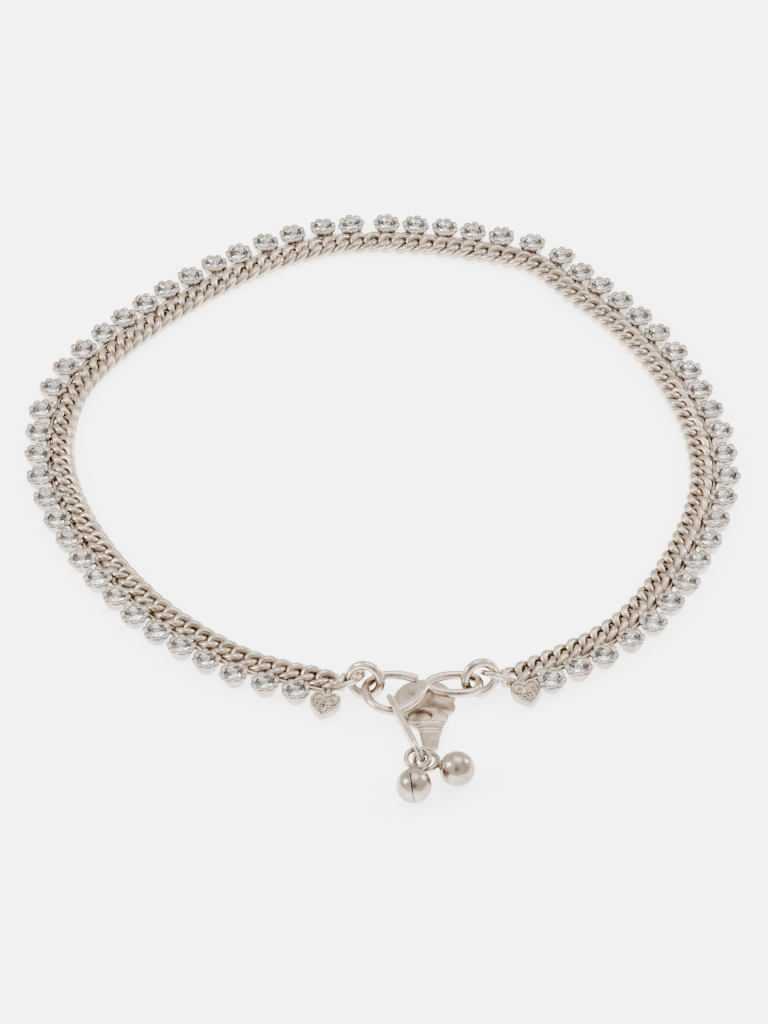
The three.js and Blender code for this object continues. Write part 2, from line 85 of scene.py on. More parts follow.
def tube(points, wire, sides, closed=False):
    """Corners and faces of a round wire along a line. An open end is cut blunt with a worn edge."""
    count = len(points)
    if closed:
        tangents = [(points[(i + 1) % count] - points[i - 1]).normalized() for i in range(count)]
    else:
        ends = [points[0], *points, points[-1]]
        tangents = [(ends[i + 2] - ends[i]).normalized() for i in range(count)]
    start = Vector((0, 0, 1))
    if abs(tangents[0].z) > 0.9:
        start = Vector((0, 1, 0))
    normals = [(start - tangents[0] * start.dot(tangents[0])).normalized()]
    for before, after in zip(tangents, tangents[1:]):
        normals.append(before.rotation_difference(after) @ normals[-1])
    turn = 0
    if closed:
        last = tangents[-1].rotation_difference(tangents[0]) @ normals[-1]
        turn = math.atan2(last.cross(normals[0]).dot(tangents[0]), last.dot(normals[0]))
    rings = list(range(count))
    radii = [wire / 2] * count
    if not closed:
        rings = [0, 0, *range(count), count - 1, count - 1]
        tip, edge = WORN_TIP[0] * wire, WORN_EDGE[0] * wire
        tip_reach, edge_reach = WORN_TIP[1] * wire, WORN_EDGE[1] * wire
        radii = [tip, edge, *radii, edge, tip]
        shift = [-tip_reach, -edge_reach, *[0] * count, edge_reach, tip_reach]
    corners, faces = [], []
    for place, (i, radius) in enumerate(zip(rings, radii)):
        normal = normals[i]
        if closed:
            normal = Matrix.Rotation(turn * i / count, 3, tangents[i]) @ normal
        side = tangents[i].cross(normal)
        middle = points[i] if closed else points[i] + tangents[i] * shift[place]
        for k in range(sides):
            angle = 2 * math.pi * k / sides
            corners.append(middle + normal * math.cos(angle) * radius
                           + side * math.sin(angle) * radius)
    total = len(rings)
    for i in range(total if closed else total - 1):
        a, b = i * sides, (i + 1) % total * sides
        for k in range(sides):
            m = (k + 1) % sides
            faces.append((a + k, a + m, b + m, b + k))
    if not closed:
        faces.append(tuple(reversed(range(sides))))
        faces.append(tuple(range((total - 1) * sides, total * sides)))
    return corners, faces


def mesh_from(name, parts, smooth=True):
    """One mesh in metres from several lists of corners and faces in millimetres."""
    corners, faces = [], []
    for part_corners, part_faces in parts:
        faces += [tuple(k + len(corners) for k in face) for face in part_faces]
        corners += [Vector(corner) * MM for corner in part_corners]
    mesh = bpy.data.meshes.new(name)
    mesh.from_pydata(corners, [], faces)
    if smooth:
        mesh.shade_smooth()
    mesh.update()
    return mesh


def add_object(name, mesh):
    made = bpy.data.objects.new(name, mesh)
    bpy.context.scene.collection.objects.link(made)
    return made


def add_piece(name, mesh, finish, replaces=()):
    """A finished piece of the anklet, fixed to the one body that all of it belongs to."""
    piece = add_object(name, mesh)
    if finish.name not in mesh.materials:
        mesh.materials.clear()
        mesh.materials.append(finish)
    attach(piece, "root")
    if replaces:
        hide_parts(*replaces)


def add_node(tree, kind, inputs=None, **settings):
    """Adds a node with its settings. An input takes a value, or another node's socket."""
    made = tree.nodes.new(kind)
    for name, value in settings.items():
        setattr(made, name, value)
    for name, value in (inputs or {}).items():
        if isinstance(value, bpy.types.NodeSocket):
            tree.links.new(value, made.inputs[name])
        else:
            made.inputs[name].default_value = value
    return made


def colour(code):
    """A linear colour from its sRGB hex code."""
    parts = [int(code[i:i + 2], 16) / 255 for i in (1, 3, 5)]
    return (*[p / 12.92 if p <= 0.04045 else ((p + 0.055) / 1.055) ** 2.4 for p in parts], 1)


def silver_finish(name, bright, dull, recess, rough, grain):
    """Silver that was tumbled after soldering: satin on top, brown and dull where nothing rubs. The
    brown in its hollows and next to the floor is tarnish with painted shade mixed in.

    Grain is the width in millimetres of the marks that the tumbling leaves.
    """
    finish = bpy.data.materials.new(name)
    finish.use_nodes = True
    tree = finish.node_tree
    shader = tree.nodes["Principled BSDF"]
    where = add_node(tree, "ShaderNodeTexCoord").outputs["Object"]
    # Patches about 2 mm across, where the pickling left the metal whiter or duller
    patches = add_node(tree, "ShaderNodeTexNoise", {
        "Vector": where, "Scale": 1 / (2.0 * MM), "Detail": 3.0, "Roughness": 0.6})
    patch_range = add_node(tree, "ShaderNodeMapRange", {
        "Value": patches.outputs["Fac"], "From Min": 0.35, "From Max": 0.68})
    skin = add_node(tree, "ShaderNodeMix", {
        "Factor": patch_range.outputs["Result"], 6: colour(dull), 7: colour(bright)},
        data_type="RGBA")
    # Tarnish and painted shade: browner and darker where two surfaces, or a surface and the floor, are
    # less than about 1 mm apart
    crevice = add_node(tree, "ShaderNodeAmbientOcclusion", {"Distance": 1.0 * MM}, samples=8)
    open_air = add_node(tree, "ShaderNodeMapRange", {
        "Value": crevice.outputs["AO"], "From Min": 0.12, "From Max": 0.72})
    tarnish_and_shade = add_node(tree, "ShaderNodeMix", {
        "Factor": open_air.outputs["Result"], 6: colour(recess), 7: skin.outputs[2]},
        data_type="RGBA")
    # Grain of the tumbling media, drawn a little coarser than life so that it shows
    grit = add_node(tree, "ShaderNodeTexNoise", {
        "Vector": where, "Scale": 1 / (grain * MM), "Detail": 2.0, "Roughness": 0.55})
    gloss = add_node(tree, "ShaderNodeMapRange", {
        "Value": grit.outputs["Fac"], "From Min": 0.3, "From Max": 0.7,
        "To Min": rough - 0.07, "To Max": rough + 0.1})
    relief = add_node(tree, "ShaderNodeBump", {
        "Height": grit.outputs["Fac"], "Strength": 0.35, "Distance": 0.05 * MM})
    shader.inputs["Metallic"].default_value = 1.0
    tree.links.new(tarnish_and_shade.outputs[2], shader.inputs["Base Color"])
    tree.links.new(gloss.outputs["Result"], shader.inputs["Roughness"])
    tree.links.new(relief.outputs["Normal"], shader.inputs["Normal"])
    return finish


def row_tree():
    """Sets copies of one piece at even steps along a line, each leaning a little at random."""
    tree = bpy.data.node_groups.new("Row along the chain", "GeometryNodeTree")
    for name, kind in (("Line", "Geometry"), ("Piece", "Object"), ("Count", "Int"),
                       ("Outward", "Float"), ("Lift", "Float"), ("Lean", "Vector"),
                       ("Seed", "Int"), ("Finish", "Material")):
        tree.interface.new_socket(name, in_out="INPUT", socket_type="NodeSocket" + kind)
    tree.interface.new_socket("Row", in_out="OUTPUT", socket_type="NodeSocketGeometry")
    given = add_node(tree, "NodeGroupInput").outputs
    line = add_node(tree, "GeometryNodeMeshToCurve", {"Mesh": given["Line"]})
    steps = add_node(tree, "GeometryNodeResampleCurve", {
        "Curve": line.outputs["Curve"], "Count": given["Count"]}, mode="COUNT")
    onward = add_node(tree, "GeometryNodeInputTangent")
    facing = add_node(tree, "FunctionNodeAlignRotationToVector", {
        "Vector": onward.outputs["Tangent"]}, axis="X", pivot_axis="Z")
    piece = add_node(tree, "GeometryNodeObjectInfo", {"Object": given["Piece"]})
    set_out = add_node(tree, "GeometryNodeInstanceOnPoints", {
        "Points": steps.outputs["Curve"], "Instance": piece.outputs["Geometry"],
        "Rotation": facing.outputs["Rotation"]})
    offset = add_node(tree, "ShaderNodeCombineXYZ", {"Y": given["Outward"], "Z": given["Lift"]})
    moved = add_node(tree, "GeometryNodeTranslateInstances", {
        "Instances": set_out.outputs["Instances"], "Translation": offset.outputs["Vector"],
        "Local Space": True})
    other_way = add_node(tree, "ShaderNodeVectorMath", {0: given["Lean"], "Scale": -1.0},
                         operation="SCALE")
    chance = add_node(tree, "FunctionNodeRandomValue", {
        0: other_way.outputs["Vector"], 1: given["Lean"], "Seed": given["Seed"]},
        data_type="FLOAT_VECTOR")
    lean = add_node(tree, "FunctionNodeEulerToRotation", {"Euler": chance.outputs["Value"]})
    leaning = add_node(tree, "GeometryNodeRotateInstances", {
        "Instances": moved.outputs["Instances"], "Rotation": lean.outputs["Rotation"],
        "Local Space": True})
    solid = add_node(tree, "GeometryNodeRealizeInstances", {
        "Geometry": leaning.outputs["Instances"]})
    finished = add_node(tree, "GeometryNodeSetMaterial", {
        "Geometry": solid.outputs["Geometry"], "Material": given["Finish"]})
    add_node(tree, "NodeGroupOutput", {"Row": finished.outputs["Geometry"]})
    return tree


def row_of(name, line, **values):
    """The plain mesh of a row of pieces along a line in millimetres."""
    corners = [point * MM for point in line]
    mesh = bpy.data.meshes.new(name + "_line")
    mesh.from_pydata(corners, [(i, i + 1) for i in range(len(corners) - 1)], [])
    host = add_object(name + "_line", mesh)
    row = host.modifiers.new("Row", "NODES")
    row.node_group = ROW_TREE
    for socket in ROW_TREE.interface.items_tree:
        if socket.in_out == "INPUT" and socket.name in values:
            row[socket.identifier] = values[socket.name]
    seen = host.evaluated_get(bpy.context.evaluated_depsgraph_get())
    made = bpy.data.meshes.new_from_object(seen)
    made.name = name
    host.modifiers.clear()
    bpy.data.objects.remove(host)
    return made


def template(name, mesh):
    """A single piece that rows are made from. It is taken out again once they are."""
    made = add_object(name, mesh)
    made.hide_render = True
    return made


route = smooth_line([(x * LOOP_SIZE[0], y * LOOP_SIZE[1], CHAIN_LEVEL) for x, y in CHAIN_ROUTE],
                    ROUTE_STEPS)
travelled = [0.0]
for here, ahead in zip(route, route[1:]):
    travelled.append(travelled[-1] + (ahead - here).length)
chain_length = travelled[-1]
cup_pitch = (chain_length - 2 * CHAIN_PAST_CUPS) / (CUP_COUNT - 1)


def route_point(distance):
    """Point of the chain's centreline at a distance from its left end."""
    i = 1
    while i < len(route) - 1 and travelled[i] < distance:
        i += 1
    share = (distance - travelled[i - 1]) / (travelled[i] - travelled[i - 1])
    return route[i - 1].lerp(route[i], share) + PLAN_ZERO


def route_piece(start, end, steps_per_mm=2):
    """The centreline between two distances along it."""
    steps = max(2, round((end - start) * steps_per_mm))
    return [route_point(start + (end - start) * i / steps) for i in range(steps + 1)]


def outward_at(distance):
    """The flat direction that points out of the loop, square to the chain."""
    aside = 0.05
    onward = route_point(distance + aside) - route_point(distance - aside)
    return Vector((-onward.y, onward.x, 0)).normalized()


ROW_TREE = row_tree()
# The chain's last colour, for its hollows and undersides, is tarnish with painted shade.
chain_silver = silver_finish("drawn and tumbled silver", "#bfaf9f", "#9f8e7d", "#7e6b57", 0.24, 0.35)
link_line = []
for i in range(LINK_STEPS):
    angle = 2 * math.pi * i / LINK_STEPS
    link_line.append(Vector((
        LINK_HALF[0] * math.cos(angle), LINK_HALF[1] * math.sin(angle),
        LINK_HALF[2] * math.sin(2 * angle))))
link = template("one_link", mesh_from("one_link", [tube(link_line, LINK_WIRE, 8, closed=True)]))
middle_of_chain = CHAIN_PAST_CUPS + (CUP_COUNT // 2 + 0.5) * cup_pitch
for side, start, end in (("left", FIRST_LINK, middle_of_chain - LINK_PITCH / 2),
                         ("right", middle_of_chain + LINK_PITCH / 2, chain_length - FIRST_LINK)):
    links = row_of("curb_links_" + side, route_piece(start, end), Piece=link, Finish=chain_silver,
                   Count=round((end - start) / LINK_PITCH) + 1, Seed=4,
                   Lean=[math.radians(angle) for angle in LINK_LEAN])
    add_piece("curb_links_" + side, links, chain_silver, replaces=["chain_" + side])
    # Wire soldered along the outer edge, which the cups' shanks stand on
    edge = []
    for i in range(round(end - start) + 1):
        distance = start + (end - start) * i / round(end - start)
        edge.append(route_point(distance) + outward_at(distance) * EDGE_OUTWARD)
    edge_mesh = mesh_from("edge_wire_" + side, [tube(edge, EDGE_WIRE, 8)])
    add_piece("edge_wire_" + side, edge_mesh, chain_silver)
bpy.data.objects.remove(link)

# Flower cups. Each is stamped from thin silver sheet into eight petals round a deep seat, and
# soldered to the chain by a short cast shank. The petals are pressed in over the stone.
CUP_OFFSET = 3.4
CUP_LIFT = 0.1
CUP_LEAN = (5, 5, 14)
CUP_FLOOR = 0.3
PETALS = 8
PETAL_ROUNDNESS = 0.55
# Rings from the foot up over the petals and down inside: radius, more radius at a petal's middle,
# height, more height there
CUP_RINGS = [
    (1.05, 0.0, 0.0, 0.0), (1.22, 0.0, 0.05, 0.0), (1.4, 0.02, 0.4, 0.0), (1.54, 0.08, 0.85, 0.0),
    (1.62, 0.18, 1.2, 0.02), (1.66, 0.28, 1.45, 0.08), (1.67, 0.31, 1.58, 0.14),
    (1.6, 0.29, 1.7, 0.2), (1.47, 0.16, 1.78, 0.2), (1.32, 0.0, 1.82, 0.12),
    (1.22, -0.02, 1.8, 0.04), (1.3, 0.0, 1.5, 0.0)]
SHANK_LEVEL = 1.0
# Distance from the chain's middle, half width and half height
SHANK = [(0.3, 0.95, 0.5), (1.1, 0.9, 0.5), (1.6, 0.82, 0.5), (2.1, 0.86, 0.52), (2.6, 1.0, 0.55)]


def cup_part():
    """Cup from its foot up over the petals, and closed under the stone by a cone."""
    steps = PETALS * 6
    corners, faces = [Vector((0, 0, 0))], []
    for radius, petal_radius, height, petal_height in CUP_RINGS:
        for k in range(steps):
            angle = 2 * math.pi * k / steps
            petal = abs(math.cos(PETALS * angle / 2)) ** PETAL_ROUNDNESS
            reach = radius + petal_radius * petal
            corners.append(Vector((reach * math.cos(angle), reach * math.sin(angle),
                                   height + petal_height * petal)))
    corners.append(Vector((0, 0, CUP_FLOOR)))
    for k in range(steps):
        m = (k + 1) % steps
        faces.append((0, 1 + m, 1 + k))
        for ring in range(len(CUP_RINGS) - 1):
            a, b = 1 + ring * steps, 1 + (ring + 1) * steps
            faces.append((a + k, a + m, b + m, b + k))
        top = 1 + (len(CUP_RINGS) - 1) * steps
        faces.append((top + k, top + m, len(corners) - 1))
    return corners, faces


def shank_part():
    """Shank from the chain's middle out to the cup, seen from the cup's foot."""
    sides = 10
    corners, faces = [], []
    for along, half_width, half_height in SHANK:
        for k in range(sides):
            angle = 2 * math.pi * k / sides
            corners.append(Vector((half_width * math.cos(angle), along - CUP_OFFSET,
                                   SHANK_LEVEL + half_height * math.sin(angle))))
    for ring in range(len(SHANK) - 1):
        a, b = ring * sides, (ring + 1) * sides
        for k in range(sides):
            m = (k + 1) % sides
            faces.append((a + k, b + k, b + m, a + m))
    faces.append(tuple(range(sides)))
    faces.append(tuple(reversed(range((len(SHANK) - 1) * sides, len(SHANK) * sides))))
    return corners, faces


# The cups' last colour, for their hollows and lower walls, is tarnish with painted shade.
cup_silver = silver_finish("stamped silver sheet", "#b3a79d", "#8f8379", "#84766a", 0.24, 0.3)
cup = template("one_cup", mesh_from("one_cup", [cup_part(), shank_part()]))
last_left = CUP_COUNT // 2
cup_rows = (("left", 0, last_left), ("right", last_left + 1, CUP_COUNT - 1))


def cup_line(first, last):
    """The chain's centreline from one cup to another, brought down to the surface."""
    line = route_piece(CHAIN_PAST_CUPS + first * cup_pitch, CHAIN_PAST_CUPS + last * cup_pitch)
    return [Vector((point.x, point.y, 0)) for point in line]


for side, first, last in cup_rows:
    cups = row_of("flower_cups_" + side, cup_line(first, last), Piece=cup, Finish=cup_silver,
                  Count=last - first + 1, Outward=CUP_OFFSET * MM, Lift=CUP_LIFT * MM, Seed=11,
                  Lean=[math.radians(angle) for angle in CUP_LEAN])
    add_piece("flower_cups_" + side, cups, cup_silver)
bpy.data.objects.remove(cup)

# Cut stones. Round brilliants of clear lead glass, 2.9 mm across, with a mirror foil burnt on the
# back. The foil throws the light back through the crown in small bright and dark facets.
STONE_RADIUS = 1.44
STONE_SEAT = 1.62
# Radius and height over the girdle of the table's corners and of the facets round it
STONE_TABLE = (0.84, 0.3)
STONE_STAR = (1.16, 0.2)
STONE_DEPTH = 1.02
FOIL_SPREAD = 1.005
FOIL_GAP = 0.02


def stone_parts():
    """Crown and pavilion of the glass, and the foil just under the pavilion."""
    corners, faces = [], []
    for count, phase, radius, height in ((8, 0, *STONE_TABLE), (8, 0.5, *STONE_STAR),
                                         (16, 0, STONE_RADIUS, 0)):
        for k in range(count):
            angle = 2 * math.pi * (k + phase) / count
            corners.append(Vector((radius * math.cos(angle), radius * math.sin(angle),
                                   STONE_SEAT + height)))
    corners.append(Vector((0, 0, STONE_SEAT - STONE_DEPTH)))
    faces.append(tuple(range(8)))
    for k in range(8):
        m = (k + 1) % 8
        low, between, high = 16 + 2 * k, 17 + 2 * k, 16 + (2 * k + 2) % 16
        faces += [(k, 8 + k, m), (k, 8 + (k - 1) % 8, low, 8 + k),
                  (8 + k, low, between), (8 + k, between, high),
                  (low, 32, between), (between, 32, high)]
    foil_corners = [Vector((c.x * FOIL_SPREAD, c.y * FOIL_SPREAD, c.z - FOIL_GAP))
                    for c in corners[16:]]
    foil_faces = [(k, (k + 1) % 16, 16) for k in range(16)]
    return (corners, faces), (foil_corners, foil_faces)


def crystal_finish():
    """Clear lead glass: bright edges, faintly warm, with hair-fine polishing marks."""
    finish = bpy.data.materials.new("cut lead crystal")
    finish.use_nodes = True
    tree = finish.node_tree
    shader = tree.nodes["Principled BSDF"]
    where = add_node(tree, "ShaderNodeTexCoord").outputs["Object"]
    cloud = add_node(tree, "ShaderNodeTexNoise", {
        "Vector": where, "Scale": 1 / (0.5 * MM), "Detail": 2.0})
    tint = add_node(tree, "ShaderNodeMix", {
        "Factor": cloud.outputs["Fac"], 6: colour("#ffffff"), 7: colour("#f6f0ea")},
        data_type="RGBA")
    wear = add_node(tree, "ShaderNodeMapRange", {
        "Value": cloud.outputs["Fac"], "To Min": 0.0, "To Max": 0.06})
    shader.inputs["IOR"].default_value = 1.56
    shader.inputs["Transmission Weight"].default_value = 1.0
    tree.links.new(tint.outputs[2], shader.inputs["Base Color"])
    tree.links.new(wear.outputs["Result"], shader.inputs["Roughness"])
    return finish


def foil_finish():
    """Burnt-on mirror foil, clouded at its edges."""
    finish = bpy.data.materials.new("mirror foil")
    finish.use_nodes = True
    tree = finish.node_tree
    shader = tree.nodes["Principled BSDF"]
    where = add_node(tree, "ShaderNodeTexCoord").outputs["Object"]
    cloud = add_node(tree, "ShaderNodeTexNoise", {
        "Vector": where, "Scale": 1 / (0.8 * MM), "Detail": 2.0})
    tint = add_node(tree, "ShaderNodeMix", {
        "Factor": cloud.outputs["Fac"], 6: colour("#fdfbf9"), 7: colour("#ece6e1")},
        data_type="RGBA")
    shader.inputs["Metallic"].default_value = 1.0
    shader.inputs["Roughness"].default_value = 0.16
    tree.links.new(tint.outputs[2], shader.inputs["Base Color"])
    return finish


crystal = crystal_finish()
foil = foil_finish()
glass_part, foil_part = stone_parts()
stone = template("one_stone", mesh_from("one_stone", [glass_part], smooth=False))
backing = template("one_foil", mesh_from("one_foil", [foil_part], smooth=False))
for side, first, last in cup_rows:
    for name, one, finish, slot in (("stones_", stone, crystal, "stone"),
                                    ("stone_foils_", backing, foil, "silver")):
        row = row_of(name + side, cup_line(first, last), Piece=one, Finish=finish,
                     Count=last - first + 1, Outward=CUP_OFFSET * MM, Lift=CUP_LIFT * MM, Seed=11,
                     Lean=[math.radians(angle) for angle in CUP_LEAN])
        add_piece(name + side, row, finish)
bpy.data.objects.remove(stone)
bpy.data.objects.remove(backing)

# Heart tags. One is soldered at each end of the row of cups: cast silver, with a raised rim round
# a sunk field that holds a small scroll and beads.
HEART_SIZE = (4.4, 4.0)
HEART_LEVEL = (0.55, 1.65)
HEART_RIM = 0.36
HEART_SUNK = 0.28
# Along the stem that joins the heart to the chain, from the heart's middle
HEART_STEM = (-4.0, -3.4, -2.6, -1.9, -1.3)
HEART_STEM_WIRE = 0.95
# Distance from the chain's end, offset out of the loop, and swing away from square
HEARTS = {"left": (0.8, 4.4, 7), "right": (1.7, 3.75, -18.5)}
HEART_BENDS = [
    ((-0.34, 0), (-0.56, -0.1), (-0.56, -0.5), (-0.16, -0.5)),
    ((-0.16, -0.5), (0.12, -0.5), (0.34, -0.24), (0.5, 0)),
    ((0.5, 0), (0.34, 0.24), (0.12, 0.5), (-0.16, 0.5)),
    ((-0.16, 0.5), (-0.56, 0.5), (-0.56, 0.1), (-0.34, 0))]
HEART_SCROLL = [
    (-0.75, -0.85), (-0.95, -1.15), (-0.55, -1.4), (-0.15, -1.1), (-0.3, -0.6), (-0.85, -0.45),
    (-1.2, -0.8)]
HEART_STEM_SCROLL = [
    (-0.7, -0.05), (-0.3, -0.3), (0.1, -0.7), (0.5, -0.6), (0.4, -0.25), (0.9, -0.15), (1.4, -0.05)]
SCROLL_WIRE = 0.26
SCROLL_RISE = 0.06
HEART_BEADS = [(-0.55, 0.0), (0.15, 0.0), (0.65, 0.0), (-0.1, -0.35), (0.95, -0.42), (0.25, -1.15)]
BEAD_WIDTH = 0.34
BEAD_HEIGHT = 0.12


def heart_outline(inset):
    """Outline with its point along +X, drawn in by an even amount."""
    line = []
    for start, lean_out, lean_in, end in HEART_BENDS:
        for step in range(12):
            t = step / 12
            shares = ((1 - t) ** 3, 3 * t * (1 - t) ** 2, 3 * t * t * (1 - t), t ** 3)
            line.append(Vector([
                sum(share * bend[axis] for share, bend in zip(shares, (start, lean_out, lean_in, end)))
                * HEART_SIZE[axis] for axis in (0, 1)] + [0]))
    if not inset:
        return line
    count = len(line)
    moved = []
    for i, point in enumerate(line):
        along = (line[(i + 1) % count] - line[i - 1]).normalized()
        moved.append(point + Vector((-along.y, along.x, 0)) * inset)
    return moved


def heart_parts():
    """Body with a soft edge, sunk field and the scroll on it. The outline runs anticlockwise."""
    low, high = HEART_LEVEL
    layers = [(0.12, low), (0.0, low + 0.12), (0.0, high - 0.14), (0.06, high - 0.04),
              (0.16, high), (HEART_RIM - 0.12, high), (HEART_RIM, high - 0.1),
              (HEART_RIM + 0.05, high - HEART_SUNK)]
    corners, faces = [], []
    for inset, height in layers:
        corners += [Vector((p.x, p.y, height)) for p in heart_outline(inset)]
    count = len(heart_outline(0))
    for ring in range(len(layers) - 1):
        a, b = ring * count, (ring + 1) * count
        for k in range(count):
            m = (k + 1) % count
            faces.append((a + k, a + m, b + m, b + k))
    for ring, height in ((0, low), (len(layers) - 1, high - HEART_SUNK)):
        corners.append(Vector((0, 0, height)))
        for k in range(count):
            m = (k + 1) % count
            face = (ring * count + k, ring * count + m, len(corners) - 1)
            faces.append(face if ring else tuple(reversed(face)))
    parts = [(corners, faces)]
    for mirrored in (1, -1):
        for scroll in (HEART_SCROLL, HEART_STEM_SCROLL):
            line = smooth_line([(x, mirrored * y, high - HEART_SUNK + SCROLL_RISE)
                                for x, y in scroll], 5)
            parts.append(tube(line, SCROLL_WIRE, 6))
        for x, y in HEART_BEADS:
            bead = Vector((x, mirrored * y, high - HEART_SUNK))
            parts.append(tube([bead, bead + Vector((0, 0, BEAD_HEIGHT))], BEAD_WIDTH, 8))
    return parts


def heart_stem():
    return tube([Vector((x, 0, CHAIN_LEVEL)) for x in HEART_STEM], HEART_STEM_WIRE, 10)


# The cast silver's last colour, for its hollows and next to the floor, is tarnish with painted shade.
cast_silver = silver_finish("cast silver", "#bfb0a0", "#a29180", "#786550", 0.3, 0.5)
for side, (past_end, offset, swing) in HEARTS.items():
    distance = past_end if side == "left" else chain_length - past_end
    outward = outward_at(distance)
    turn = math.atan2(outward.y, outward.x) + math.radians(swing)
    heart = mesh_from("heart_tag_" + side, heart_parts() + [heart_stem()])
    foot = route_point(distance)
    place = Matrix.Translation(Vector((foot.x, foot.y, 0)) * MM) @ Matrix.Rotation(turn, 4, "Z")
    heart.transform(place @ Matrix.Translation((offset * MM, 0, 0)))
    heart.set_sharp_from_angle(angle=math.radians(50))
    add_piece("heart_tag_" + side, heart, cast_silver)

# End rings and end links. A thick round ring of drawn wire hangs on a small soldered link at each
# end of the chain, and leans on what passes through it. Two more rings are soldered round the link.
RING_DIAMETER = 5.45
RING_WIRE = 1.25
# Length, width and wire
END_LINK = (5.45, 3.29, 0.79)
STRAIGHT_STEP = 0.8
# Places from the chain's end, and the link's bend from the middle of its ring
END_RINGS = {
    "left": {"at": (3.559, -0.802), "turn": -19.1, "lean": 70.7, "hand": 1,
             "link_seat": (-1.341, 0.444), "link_roll": 17.0},
    "right": {"at": (-3.741, -1.131), "turn": 22.0, "lean": 69.9, "hand": -1,
              "link_seat": (1.522, 0.524), "link_roll": 36.8}}
# The rings round the end link: share of the way to the chain, and diameter
END_COLLARS = ((0.7, 2.6), (0.94, 2.1))
COLLAR_WIRE = 0.85
CHAIN_ENDS = {"left": route_point(0), "right": route_point(chain_length)}


def oval_line(length, width, wire, steps=16):
    """Centreline of an oval ring with straight sides, lying in its own XY plane."""
    radius = (width - wire) / 2
    run = (length - width) / 2
    line = []
    for centre, start in ((run, -math.pi / 2), (-run, math.pi / 2)):
        for k in range(steps + 1):
            angle = start + math.pi * k / steps
            line.append(Vector((centre + radius * math.cos(angle), radius * math.sin(angle), 0)))
        if run:
            straight = max(1, round(2 * run / STRAIGHT_STEP))
            for k in range(1, straight):
                line.append(Vector((centre - 2 * centre * k / straight, line[-1].y, 0)))
        else:
            line.pop()
    return line


def stood_in(line, place):
    """A line brought to its place."""
    return [place @ point for point in line]


def axes_along(direction, near_up, at):
    """Place with X along a direction and Z as near to another one as that allows."""
    x_axis = direction.normalized()
    y_axis = near_up.cross(x_axis).normalized()
    z_axis = x_axis.cross(y_axis)
    place = Matrix((x_axis, y_axis, z_axis)).transposed().to_4x4()
    place.translation = at
    return place


def ring_place(side, ring):
    """Place of a thick ring that leans with its lowest point on the surface."""
    lean = math.radians(ring["lean"])
    level = (RING_DIAMETER - RING_WIRE) / 2 * math.sin(lean) + RING_WIRE / 2
    middle = CHAIN_ENDS[side] + Vector((*ring["at"], 0))
    return (Matrix.Translation((middle.x, middle.y, level))
            @ Matrix.Rotation(math.radians(ring["turn"]), 4, "Z") @ Matrix.Rotation(lean, 4, "X"))


# The wire's last colour, for where it touches other parts and the floor, is tarnish with painted shade.
wire_silver = silver_finish("polished silver wire", "#c2b4a6", "#a69686", "#7a6752", 0.19, 0.6)
for side, ring in END_RINGS.items():
    place = ring_place(side, ring)
    circle = stood_in(oval_line(RING_DIAMETER, RING_DIAMETER, RING_WIRE, 24), place)
    ring_mesh = mesh_from("thick_ring_" + side, [tube(circle, RING_WIRE, 16, closed=True)])
    add_piece("thick_ring_" + side, ring_mesh, wire_silver, replaces=["end_ring_" + side])

    bend = place.translation + Vector((*ring["link_seat"], 0))
    direction = (CHAIN_ENDS[side] - bend).normalized()
    roll = Matrix.Rotation(math.radians(ring["link_roll"] * ring["hand"]), 3, direction)
    centre = bend + direction * (END_LINK[0] - END_LINK[1]) / 2
    end_link = stood_in(oval_line(*END_LINK), axes_along(direction, roll @ Vector((0, 0, 1)), centre))
    link_parts = [tube(end_link, END_LINK[2], 12, closed=True)]
    for share, diameter in END_COLLARS:
        stand = axes_along(Vector((0, 0, 1)), direction, bend.lerp(CHAIN_ENDS[side], share))
        collar = stood_in(oval_line(diameter, diameter, COLLAR_WIRE, 12), stand)
        link_parts.append(tube(collar, COLLAR_WIRE, 10, closed=True))
    link_mesh = mesh_from("end_link_" + side, link_parts)
    add_piece("end_link_" + side, link_mesh, wire_silver)

# S-hook. One length of thick silver wire is bent into a closed eye on the right and an open mouth
# on the left, cut blunt and filed round at its tip.
HOOK_WIRE = 1.2
HOOK_LEVEL = 2.27
HOOK_MOUTH = (7.8, 6.4)
HOOK_MOUTH_Y = -2.8
HOOK_EYE_WIDTH = 4.5
HOOK_EYE_Y = -1.25
HOOK_SEATS = (0.049, 0.116)
# Shares of the mouth's length and width from its blunt tip to the crossing, then of the eye's
HOOK_ARM = [
    (-0.14, 0.39), (-0.41, 0.5), (-0.73, 0.48), (-0.955, 0.28), (-1, 0.04), (-0.91, -0.27),
    (-0.7, -0.47), (-0.45, -0.5), (-0.2, -0.28), (-0.06, -0.02), (0.02, 0.19)]
HOOK_EYE = [(0, 0), (0.14, 0.28), (0.36, 0.46), (0.6, 0.5), (0.82, 0.45), (0.96, 0.26), (1, 0)]

mouth_end = ring_place("left", END_RINGS["left"]).translation.x + HOOK_SEATS[0]
eye_end = ring_place("right", END_RINGS["right"]).translation.x - HOOK_SEATS[1]
crossing = mouth_end + HOOK_MOUTH[0]
mouth_y = CHAIN_ENDS["left"].y + HOOK_MOUTH_Y
eye_y = CHAIN_ENDS["left"].y + HOOK_EYE_Y
arm = smooth_line([(crossing + along * HOOK_MOUTH[0], mouth_y + across * HOOK_MOUTH[1], HOOK_LEVEL)
                   for along, across in HOOK_ARM], 8)
eye_width = HOOK_EYE_WIDTH - HOOK_WIRE
eye_sides = HOOK_EYE + [(along, -across) for along, across in reversed(HOOK_EYE[:-1])]
eye = smooth_line([(crossing + along * (eye_end - crossing), eye_y + across * eye_width, HOOK_LEVEL)
                   for along, across in eye_sides], 6)
hook = mesh_from("s_hook_wire", [tube(arm, HOOK_WIRE, 16), tube(eye, HOOK_WIRE, 16)])
hook.set_sharp_from_angle(angle=math.radians(60))
add_piece("s_hook_wire", hook, wire_silver, replaces=["s_hook"])

